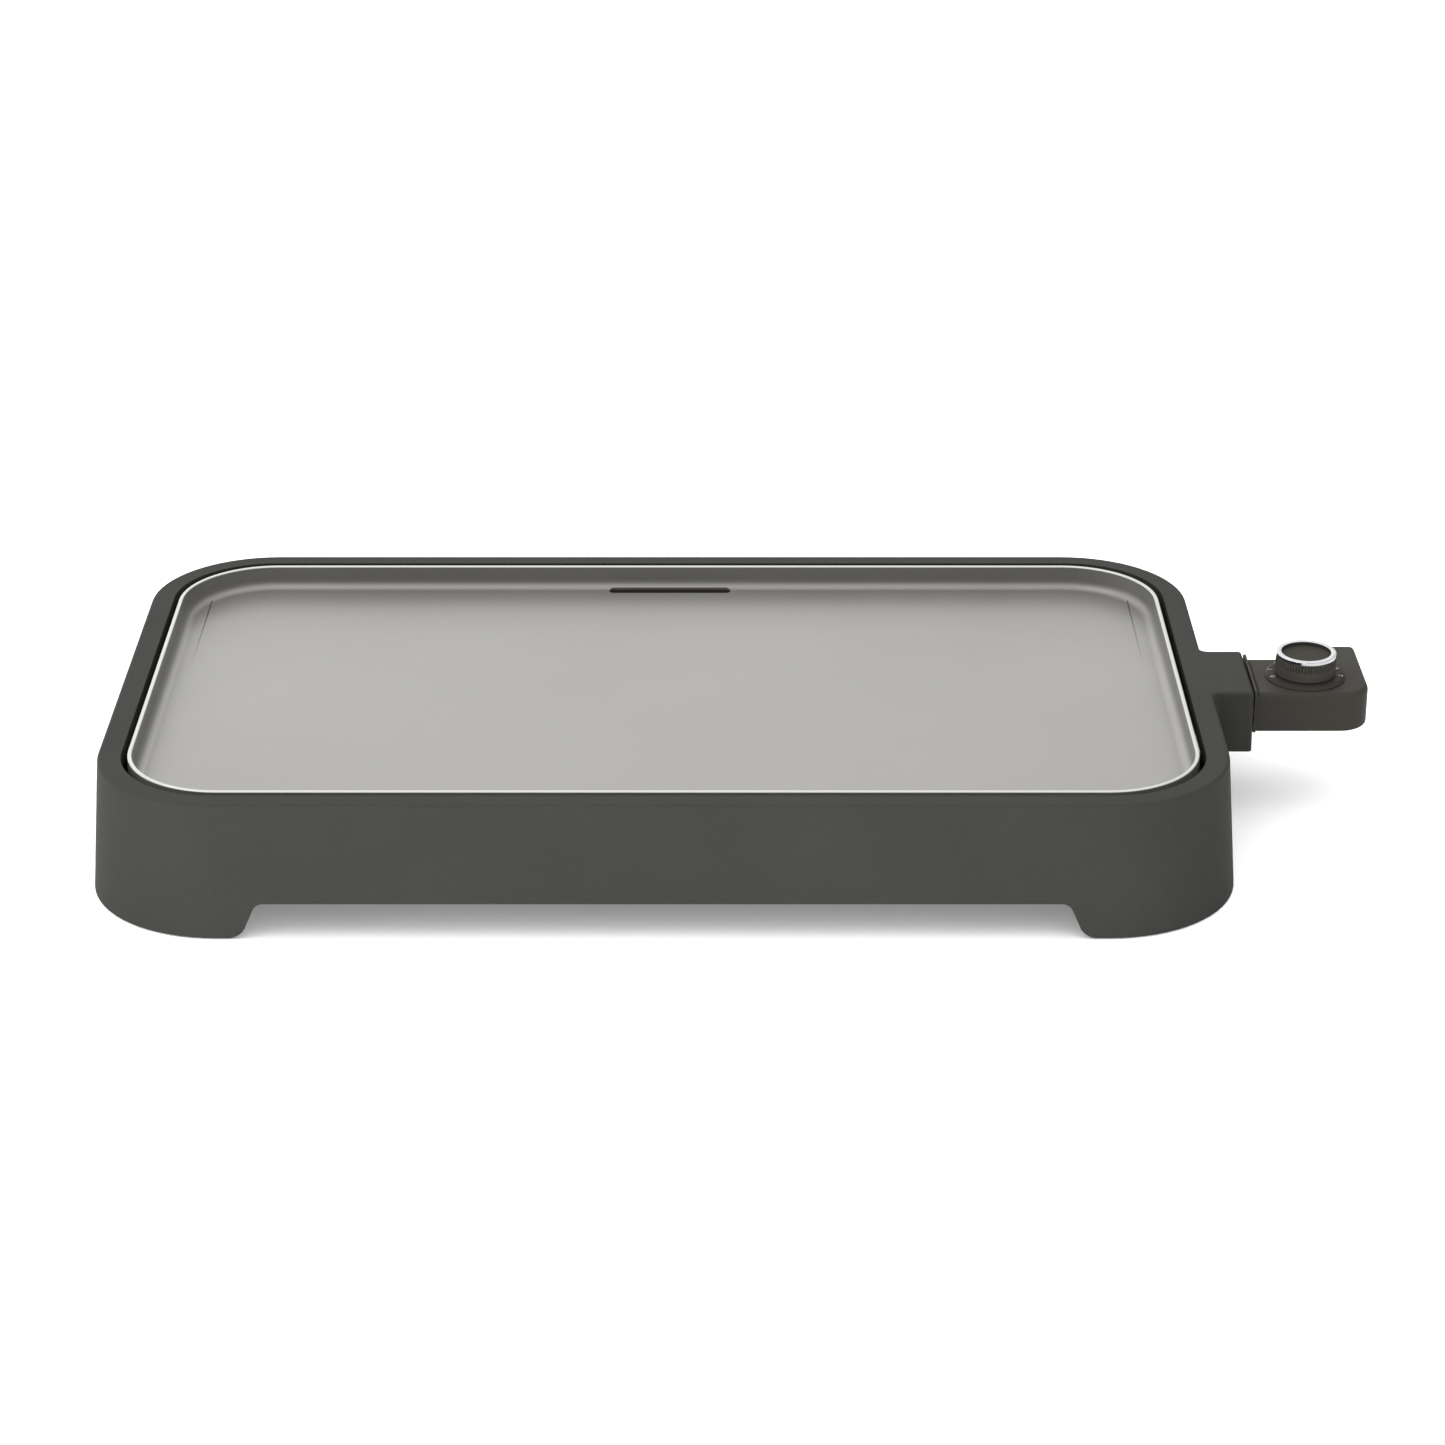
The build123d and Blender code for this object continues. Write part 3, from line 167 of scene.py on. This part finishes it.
lowDown = addNode(skyTree, "ShaderNodeMapRange",
                  {"From Min": skySetup["dimUpTo"], "From Max": skySetup["dimFullyAt"]},
                  {"Value": skyAxes.outputs["Z"]}).outputs["Result"]
rightPart = addNode(skyTree, "ShaderNodeMapRange",
                    {"From Min": skySetup["rightFrom"], "From Max": skySetup["rightTo"],
                     "To Max": skySetup["rightDimming"]},
                    {"Value": skyAxes.outputs["X"]}).outputs["Result"]
frontPart = addNode(skyTree, "ShaderNodeMath", {1: skySetup["frontDimming"]}, {0: frontShare},
                    operation="MULTIPLY").outputs[0]
darkSide = addNode(skyTree, "ShaderNodeMath", links={0: frontPart, 1: rightPart},
                   operation="MAXIMUM").outputs[0]
dimPart = addNode(skyTree, "ShaderNodeMath", links={0: darkSide, 1: lowDown},
                  operation="MULTIPLY").outputs[0]
skyTone = ramp(skyTree, dimPart, [(0.0, grey(1.0)), (1.0, grey(0.0))])
skyLight = addNode(skyTree, "ShaderNodeBackground", {"Strength": skySetup["strength"]}, {"Color": skyTone})
addNode(skyTree, "ShaderNodeOutputWorld", links={"Surface": skyLight.outputs["Background"]})

# White acrylic board, faintly lit from below
floorSetup = {"colour": "#f4f4f4", "roughness": 0.85, "glow": 0.22, "half": 9.0}
floorFinish, _, floorShader, _ = newFinish("litBoard")
floorShader.inputs["Base Color"].default_value = hexToLinear(floorSetup["colour"])
floorShader.inputs["Roughness"].default_value = floorSetup["roughness"]
floorShader.inputs["Emission Color"].default_value = grey(1.0)
floorShader.inputs["Emission Strength"].default_value = floorSetup["glow"]
floorMesh = bpy.data.meshes.new("floor")
floorHalf = floorSetup["half"]
floorMesh.from_pydata([(-floorHalf, -floorHalf, 0), (floorHalf, -floorHalf, 0), (floorHalf, floorHalf, 0),
                       (-floorHalf, floorHalf, 0)], [], [(0, 1, 2, 3)])
floorMesh.materials.append(floorFinish)
floor = bpy.data.objects.new("floor", floorMesh)
bpy.context.scene.collection.objects.link(floor)
print("stage: camera, light and floor")

# Finishes


def mouldedResin(name, colour, fleck, roughness=0.5, grainMm=0.55, relief=0.3, sheen=0.03):
    # Heat-resistant resin from a spark-eroded mould: matt, with a fine even grain and hardly any gloss
    finish, tree, shader, place = newFinish(name)
    cloud = addNode(tree, "ShaderNodeTexNoise", {"Scale": perSize(60), "Detail": 4.0}, {"Vector": place})
    speck = addNode(tree, "ShaderNodeTexNoise", {"Scale": perSize(grainMm * 1.6), "Detail": 2.0},
                    {"Vector": place})
    blend = addNode(tree, "ShaderNodeMath", {1: 0.5}, {0: cloud.outputs["Fac"]}, operation="MULTIPLY")
    tone = addNode(tree, "ShaderNodeMath", {1: 0.5}, {0: speck.outputs["Fac"], 2: blend.outputs[0]},
                   operation="MULTIPLY_ADD")
    tree.links.new(ramp(tree, tone.outputs[0], [(0.3, hexToLinear(colour)), (0.72, hexToLinear(fleck))]),
                   shader.inputs["Base Color"])
    smear = addNode(tree, "ShaderNodeTexNoise", {"Scale": perSize(35), "Detail": 6.0, "Roughness": 0.6},
                    {"Vector": place})
    gloss = addNode(tree, "ShaderNodeMapRange", {"To Min": roughness - 0.06, "To Max": roughness + 0.08},
                    {"Value": smear.outputs["Fac"]})
    tree.links.new(gloss.outputs["Result"], shader.inputs["Roughness"])
    shader.inputs["Specular IOR Level"].default_value = sheen
    grain = addNode(tree, "ShaderNodeTexNoise", {"Scale": perSize(grainMm), "Detail": 3.0, "Roughness": 0.65},
                    {"Vector": place})
    bump = addNode(tree, "ShaderNodeBump", {"Strength": relief, "Distance": 0.06 * mm},
                   {"Height": grain.outputs["Fac"]})
    tree.links.new(bump.outputs["Normal"], shader.inputs["Normal"])
    return finish


def coatedCasting():
    # Cast aluminium pan under a satin grey non-stick coat: soft metallic sheen, orange-peel relief, bare
    # turned lip, and painted shade in each crease and on all of the plate below its floor level
    finish, tree, shader, place = newFinish("coatedCasting")
    height = addNode(tree, "ShaderNodeSeparateXYZ", links={"Vector": place}).outputs["Z"]
    lip = addNode(tree, "ShaderNodeMapRange",
                  {"From Min": panHigh.z - 0.9 * mm, "From Max": panHigh.z - 0.35 * mm},
                  {"Value": height}).outputs["Result"]
    cloud = addNode(tree, "ShaderNodeTexNoise", {"Scale": perSize(90), "Detail": 5.0, "Roughness": 0.55},
                    {"Vector": place})
    coat = ramp(tree, cloud.outputs["Fac"], [(0.3, hexToLinear("#7b7a78")), (0.7, hexToLinear("#7e7d7b"))])
    # Painted shade: below the floor level (crease bottoms, slot walls, outer flanks and underside) the coat
    # colour is darkened
    paintedShadeMask = addNode(tree, "ShaderNodeMapRange",
                     {"From Min": panFloor - 0.02 * mm, "From Max": panFloor - 0.3 * mm},
                     {"Value": height}).outputs["Result"]
    coatWithPaintedShade = addNode(tree, "ShaderNodeMix", {"B": hexToLinear("#4a4845")}, {"Factor": paintedShadeMask, "A": coat},
                    data_type="RGBA")
    colour = addNode(tree, "ShaderNodeMix", {"B": hexToLinear("#a8a8a6")},
                     {"Factor": lip, "A": coatWithPaintedShade.outputs["Result"]}, data_type="RGBA")
    tree.links.new(colour.outputs["Result"], shader.inputs["Base Color"])
    wear = addNode(tree, "ShaderNodeTexNoise", {"Scale": perSize(22), "Detail": 7.0, "Roughness": 0.6},
                   {"Vector": place})
    satin = addNode(tree, "ShaderNodeMapRange", {"To Min": 0.36, "To Max": 0.42},
                    {"Value": wear.outputs["Fac"]})
    gloss = addNode(tree, "ShaderNodeMix", {"B": 0.3}, {"Factor": lip, "A": satin.outputs["Result"]})
    tree.links.new(gloss.outputs["Result"], shader.inputs["Roughness"])
    # The coat holds metal flake, and the lip is bare metal
    bare = addNode(tree, "ShaderNodeMapRange", {"To Min": 0.5}, {"Value": lip})
    tree.links.new(bare.outputs["Result"], shader.inputs["Metallic"])
    peel = addNode(tree, "ShaderNodeTexNoise", {"Scale": perSize(1.4), "Detail": 3.0}, {"Vector": place})
    bump = addNode(tree, "ShaderNodeBump", {"Strength": 0.18, "Distance": 0.08 * mm},
                   {"Height": peel.outputs["Fac"]})
    tree.links.new(bump.outputs["Normal"], shader.inputs["Normal"])
    return finish


def workedMetal(name, colour, stain, roughness, streak=(1, 1, 1), grainMm=0.8, relief=0.2):
    # Bare or plated metal: reflective, with fine tool or rolling marks along one direction and faint staining
    finish, tree, shader, place = newFinish(name)
    shader.inputs["Metallic"].default_value = 1.0
    stretched = addNode(tree, "ShaderNodeMapping", {"Scale": streak}, {"Vector": place}).outputs["Vector"]
    marks = addNode(tree, "ShaderNodeTexNoise", {"Scale": perSize(grainMm), "Detail": 4.0, "Roughness": 0.6},
                    {"Vector": stretched})
    patch = addNode(tree, "ShaderNodeTexNoise", {"Scale": perSize(14), "Detail": 5.0}, {"Vector": place})
    tree.links.new(ramp(tree, patch.outputs["Fac"], [(0.35, hexToLinear(stain)), (0.6, hexToLinear(colour))]),
                   shader.inputs["Base Color"])
    gloss = addNode(tree, "ShaderNodeMapRange", {"To Min": roughness * 0.8, "To Max": roughness * 1.25},
                    {"Value": marks.outputs["Fac"]})
    tree.links.new(gloss.outputs["Result"], shader.inputs["Roughness"])
    bump = addNode(tree, "ShaderNodeBump", {"Strength": relief, "Distance": 0.03 * mm},
                   {"Height": marks.outputs["Fac"]})
    tree.links.new(bump.outputs["Normal"], shader.inputs["Normal"])
    return finish


def softRubber(name, colour):
    # Moulded rubber: very matt, with a powdery bloom and a fine grain
    finish, tree, shader, place = newFinish(name)
    bloom = addNode(tree, "ShaderNodeTexNoise", {"Scale": perSize(9), "Detail": 6.0}, {"Vector": place})
    powdery = ramp(tree, bloom.outputs["Fac"], [(0.35, hexToLinear(colour)), (0.8, hexToLinear("#3a3a38"))])
    tree.links.new(powdery, shader.inputs["Base Color"])
    shader.inputs["Roughness"].default_value = 0.82
    grain = addNode(tree, "ShaderNodeTexNoise", {"Scale": perSize(0.4), "Detail": 2.0}, {"Vector": place})
    bump = addNode(tree, "ShaderNodeBump", {"Strength": 0.4, "Distance": 0.05 * mm},
                   {"Height": grain.outputs["Fac"]})
    tree.links.new(bump.outputs["Normal"], shader.inputs["Normal"])
    return finish


def firedCeramic(name):
    # Pressed steatite: cream, dull, with tiny dark specks from the kiln
    finish, tree, shader, place = newFinish(name)
    speck = addNode(tree, "ShaderNodeTexNoise", {"Scale": perSize(0.5), "Detail": 3.0}, {"Vector": place})
    cream = ramp(tree, speck.outputs["Fac"], [(0.3, hexToLinear("#766e5b")), (0.42, hexToLinear("#a7a192"))])
    tree.links.new(cream, shader.inputs["Base Color"])
    shader.inputs["Roughness"].default_value = 0.62
    bump = addNode(tree, "ShaderNodeBump", {"Strength": 0.3, "Distance": 0.04 * mm},
                   {"Height": speck.outputs["Fac"]})
    tree.links.new(bump.outputs["Normal"], shader.inputs["Normal"])
    return finish


def clearMoulding(name, colour, roughness, ior):
    # Clear moulded or blown part: tinted, with slight waviness from the mould
    finish, tree, shader, place = newFinish(name)
    wave = addNode(tree, "ShaderNodeTexNoise", {"Scale": perSize(3), "Detail": 2.0}, {"Vector": place})
    tint = ramp(tree, wave.outputs["Fac"], [(0.3, hexToLinear(colour[0])), (0.7, hexToLinear(colour[1]))])
    tree.links.new(tint, shader.inputs["Base Color"])
    shader.inputs["Roughness"].default_value = roughness
    shader.inputs["IOR"].default_value = ior
    shader.inputs["Transmission Weight"].default_value = 0.7
    bump = addNode(tree, "ShaderNodeBump", {"Strength": 0.15, "Distance": 0.1 * mm},
                   {"Height": wave.outputs["Fac"]})
    tree.links.new(bump.outputs["Normal"], shader.inputs["Normal"])
    return finish


def brightPlating():
    # Plated trim: near mirror bright, with the faintest polishing haze
    finish, tree, shader, place = newFinish("brightPlating")
    shader.inputs["Metallic"].default_value = 1.0
    haze = addNode(tree, "ShaderNodeTexNoise", {"Scale": perSize(4), "Detail": 6.0}, {"Vector": place})
    plate = ramp(tree, haze.outputs["Fac"], [(0.3, hexToLinear("#a9aaac")), (0.7, hexToLinear("#b2b3b5"))])
    tree.links.new(plate, shader.inputs["Base Color"])
    gloss = addNode(tree, "ShaderNodeMapRange", {"To Min": 0.07, "To Max": 0.13},
                    {"Value": haze.outputs["Fac"]})
    tree.links.new(gloss.outputs["Result"], shader.inputs["Roughness"])
    return finish


def printedInk(name, colour):
    # Pad-printed ink: matt, a little uneven where it thins
    finish, tree, shader, place = newFinish(name)
    thin = addNode(tree, "ShaderNodeTexNoise", {"Scale": perSize(0.5), "Detail": 4.0}, {"Vector": place})
    ink = ramp(tree, thin.outputs["Fac"], [(0.25, hexToLinear("#807e78")), (0.5, hexToLinear(colour))])
    tree.links.new(ink, shader.inputs["Base Color"])
    shader.inputs["Roughness"].default_value = 0.6
    return finish


finishes = {
    "base_moulding": mouldedResin("phenolicMoulding", "#333331", "#383836", 0.62),
    "foot_rubber": softRubber("footRubber", "#1c1c1b"),
    "cast_plate": coatedCasting(),
    "element_sheath": workedMetal("annealedSheath", "#544e48", "#3a3530", 0.5, (1, 1, 1), 0.6, 0.3),
    "spacer_ceramic": firedCeramic("steatiteSpacer"),
    "plated_steel": workedMetal("zincPlatedSteel", "#8c8c86", "#77756c", 0.32, (1, 1, 1), 0.5),
    "nickel_pins": workedMetal("nickelPlatedPin", "#9d9990", "#8a8377", 0.22, (0.1, 1, 1), 0.4),
    "bracket_steel": workedMetal("galvanisedSheet", "#80807e", "#6d6d6a", 0.38, (1, 0.15, 1), 0.9),
    "stainless_tube": workedMetal("drawnStainless", "#959390", "#84837e", 0.27, (0.1, 1, 1), 0.5),
    "tray_moulding": mouldedResin("trayPolyester", "#2a2a29", "#313130", 0.52),
    "control_moulding": mouldedResin("controlPhenolic", "#34322e", "#393733", 0.46, 0.45),
    "push_rod_alloy": workedMetal("groundAlloyRod", "#8d8a86", "#7d7b76", 0.3, (0.1, 1, 1), 0.5),
    "contact_ceramic": firedCeramic("steatiteBlock"),
    "spring_brass": workedMetal("rolledBrass", "#a08044", "#80612b", 0.3, (0.15, 1, 1), 0.5),
    "dial_moulding": mouldedResin("dialPhenolic", "#2d2b27", "#32302c", 0.44, 0.45),
    "pilot_red": clearMoulding("redAcrylic", ("#a01208", "#c41c0c"), 0.12, 1.49),
    "lamp_glass": clearMoulding("lampGlass", ("#e8dccc", "#f4ece0"), 0.05, 1.5),
    "terminal_moulding": mouldedResin("ureaTerminal", "#807b70", "#898479", 0.45),
    "gland_rubber": softRubber("glandRubber", "#222220"),
    "knob_moulding": mouldedResin("knobPhenolic", "#393733", "#3e3c38", 0.46, 0.4),
    "knob_disc": mouldedResin("knobDiscResin", "#302e29", "#34322d", 0.5, 0.4),
    "knob_chrome": brightPlating(),
    "shaft_steel": workedMetal("turnedSteel", "#878580", "#74716d", 0.3, (1, 1, 0.1), 0.4),
}
inkFinish = printedInk("padPrintedInk", "#b0aea8")

for part in frame["record"]["subparts"]:
    cadMesh = nodes[part["node"]].data
    cadMesh.materials.clear()
    cadMesh.materials.append(finishes[part["material_slot"]])
print("stage: finishes on the packed parts")

# Knob and dial


def lathe(name, profile, axisPoint, steps, finish, shape=None):
    # Turns a closed outline of (radius, height) points about the upright axis
    # shape may change a point's radius with its angle
    shell = bmesh.new()
    rings = []
    for step in range(steps):
        angle = 2 * math.pi * step / steps
        ring = []
        for radius, height in profile:
            if shape:
                radius = shape(radius, height, angle)
            ring.append(shell.verts.new((axisPoint.x + radius * math.cos(angle),
                                         axisPoint.y + radius * math.sin(angle), height)))
        rings.append(ring)
    for step, ring in enumerate(rings):
        following = rings[(step + 1) % steps]
        for point in range(len(profile)):
            after = (point + 1) % len(profile)
            shell.faces.new((ring[point], following[point], following[after], ring[after]))
    bmesh.ops.recalc_face_normals(shell, faces=shell.faces)
    mesh = bpy.data.meshes.new(name)
    shell.to_mesh(mesh)
    shell.free()
    mesh.materials.append(finish)
    mesh.shade_smooth()
    piece = bpy.data.objects.new(name, mesh)
    bpy.context.scene.collection.objects.link(piece)
    return piece


def sharpen(piece, degrees=38):
    # Keeps crisp edges crisp where faces meet at more than this angle
    piece.data.set_sharp_from_angle(angle=math.radians(degrees))


def softCorner(corner, before, after, radius, steps=4):
    # Points of an arc that rounds one corner of an outline
    corner, before, after = Vector(corner), Vector(before), Vector(after)
    toBefore = (before - corner).normalized()
    toAfter = (after - corner).normalized()
    half = toBefore.angle(toAfter) / 2
    reach = radius / math.tan(half)
    centre = corner + (toBefore + toAfter).normalized() * (radius / math.sin(half))
    first = corner + toBefore * reach - centre
    last = corner + toAfter * reach - centre
    return [tuple(centre + first.slerp(last, i / steps) * radius) for i in range(steps + 1)]


def softOutline(corners):
    # A closed outline from (x, y, corner radius) entries
    points = []
    for i, (x, y, radius) in enumerate(corners):
        before = corners[i - 1][:2]
        after = corners[(i + 1) % len(corners)][:2]
        points += softCorner((x, y), before, after, radius) if radius else [(x, y)]
    return points


knobShape = {
    "ribs": 60, "ribSteps": 12, "turnSteps": 720, "capGap": 0.05 * mm, "sideStart": 1.2 * mm,
    "ribDepth": 0.95 * mm, "ribBottom": 4.4 * mm, "ribTop": 0.35 * mm, "ribFade": 0.6 * mm,
    "skirt": 2.0 * mm, "hollowHeight": 6.6 * mm, "hub": 5.0 * mm, "bore": 2.5 * mm, "hubBottom": 0.6 * mm,
}


def grippedRadius(radius, height, angle):
    knob = knobShape
    below = knobHigh.z - knob["ribTop"] - height
    above = height - (knobHigh.z - knob["ribBottom"])
    rise = below * above / knob["ribFade"] ** 2
    if radius < ringInner or rise <= 0:
        return radius
    valley = 0.5 - 0.5 * math.cos(knob["ribs"] * angle)
    return radius - knob["ribDepth"] * min(1.0, rise) * valley ** 2


ringLow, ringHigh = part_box("knob_ring")
capLow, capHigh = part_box("knob_cap")
ringInner = (capHigh.x - capLow.x) / 2 + knobShape["capGap"]
outerTop = (ringHigh.x - ringLow.x) / 2
outerBottom = (knobHigh.x - knobLow.x) / 2
skirtInner = outerBottom - knobShape["skirt"]
ribSteps = knobShape["ribSteps"]
ribFoot = knobHigh.z - knobShape["ribBottom"]
sideLevels = [knobLow.z + knobShape["sideStart"]]
sideLevels += [ribFoot + knobShape["ribBottom"] * i / ribSteps for i in range(ribSteps)]
sideSlope = (outerTop - outerBottom) / (knobHigh.z - knobLow.z)
sidePoints = [(outerBottom + sideSlope * (z - knobLow.z), z) for z in sideLevels]
knobProfile = (
    [(knobShape["bore"], knobLow.z + knobShape["hubBottom"]),
     (knobShape["hub"], knobLow.z + knobShape["hubBottom"]),
     (knobShape["hub"], knobLow.z + knobShape["hollowHeight"]),
     (skirtInner, knobLow.z + knobShape["hollowHeight"])]
    + softCorner((skirtInner, knobLow.z), (skirtInner, knobLow.z + 1), (outerBottom, knobLow.z), 0.4 * mm)
    + softCorner((outerBottom, knobLow.z), (skirtInner, knobLow.z), (outerBottom, knobLow.z + 1), 0.5 * mm)
    + sidePoints
    + softCorner((outerTop, knobHigh.z), (outerTop, knobLow.z), (ringInner, knobHigh.z), 0.2 * mm)
    + [(ringInner, knobHigh.z), (ringInner, capLow.z), (knobShape["bore"], capLow.z)]
)
knobGrip = lathe("knobGrip", knobProfile, knobCentre, knobShape["turnSteps"], finishes["knob_moulding"],
                 grippedRadius)
sharpen(knobGrip)
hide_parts("knob_body")
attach(knobGrip, "knob")

trimShape = {
    "overlap": 0.4 * mm, "outerRound": 0.4 * mm, "innerRound": 0.2 * mm, "footRound": 0.05 * mm,
    "turnSteps": 256,
}
trimInner = ringInner - trimShape["overlap"]
ringProfile = softOutline([
    (trimInner, ringLow.z, trimShape["footRound"]), (outerTop, ringLow.z, trimShape["innerRound"]),
    (outerTop, ringHigh.z, trimShape["outerRound"]), (trimInner, ringHigh.z, trimShape["innerRound"]),
])
knobTrim = lathe("knobTrim", ringProfile, knobCentre, trimShape["turnSteps"], finishes["knob_chrome"])
sharpen(knobTrim)
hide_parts("knob_ring")
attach(knobTrim, "knob")

dialPrint = {
    "marks": 8, "firstDegrees": 196.0, "pitchDegrees": -29.8, "numberRadius": 17.6 * mm,
    "numberHeight": 2.6 * mm, "capHeight": 0.7, "ink": 0.05 * mm,
}
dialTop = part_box("dial_ring")[1].z


def printedNumbers():
    together = bmesh.new()
    for mark in range(dialPrint["marks"]):
        letter = bpy.data.curves.new("number", "FONT")
        letter.body = str(mark)
        letter.size = dialPrint["numberHeight"] / dialPrint["capHeight"]
        letter.align_x = "CENTER"
        letter.align_y = "CENTER"
        letter.extrude = dialPrint["ink"] / 2
        letter.resolution_u = 3
        holder = bpy.data.objects.new("number", letter)
        bpy.context.scene.collection.objects.link(holder)
        bpy.context.view_layer.update()
        filled = holder.evaluated_get(bpy.context.evaluated_depsgraph_get())
        outline = bpy.data.meshes.new_from_object(filled)
        angle = math.radians(dialPrint["firstDegrees"] + dialPrint["pitchDegrees"] * mark)
        spot = Vector((knobCentre.x + dialPrint["numberRadius"] * math.cos(angle),
                       knobCentre.y + dialPrint["numberRadius"] * math.sin(angle),
                       dialTop + dialPrint["ink"] / 2))
        outline.transform(Matrix.Translation(spot) @ Matrix.Rotation(angle - math.pi / 2, 4, "Z"))
        together.from_mesh(outline)
        bpy.data.objects.remove(holder)
        bpy.data.meshes.remove(outline)
    mesh = bpy.data.meshes.new("dialNumbers")
    together.to_mesh(mesh)
    together.free()
    mesh.materials.append(inkFinish)
    piece = bpy.data.objects.new("dialNumbers", mesh)
    bpy.context.scene.collection.objects.link(piece)
    return piece


dialNumbers = printedNumbers()
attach(dialNumbers, "control")
print("stage: knob and dial")
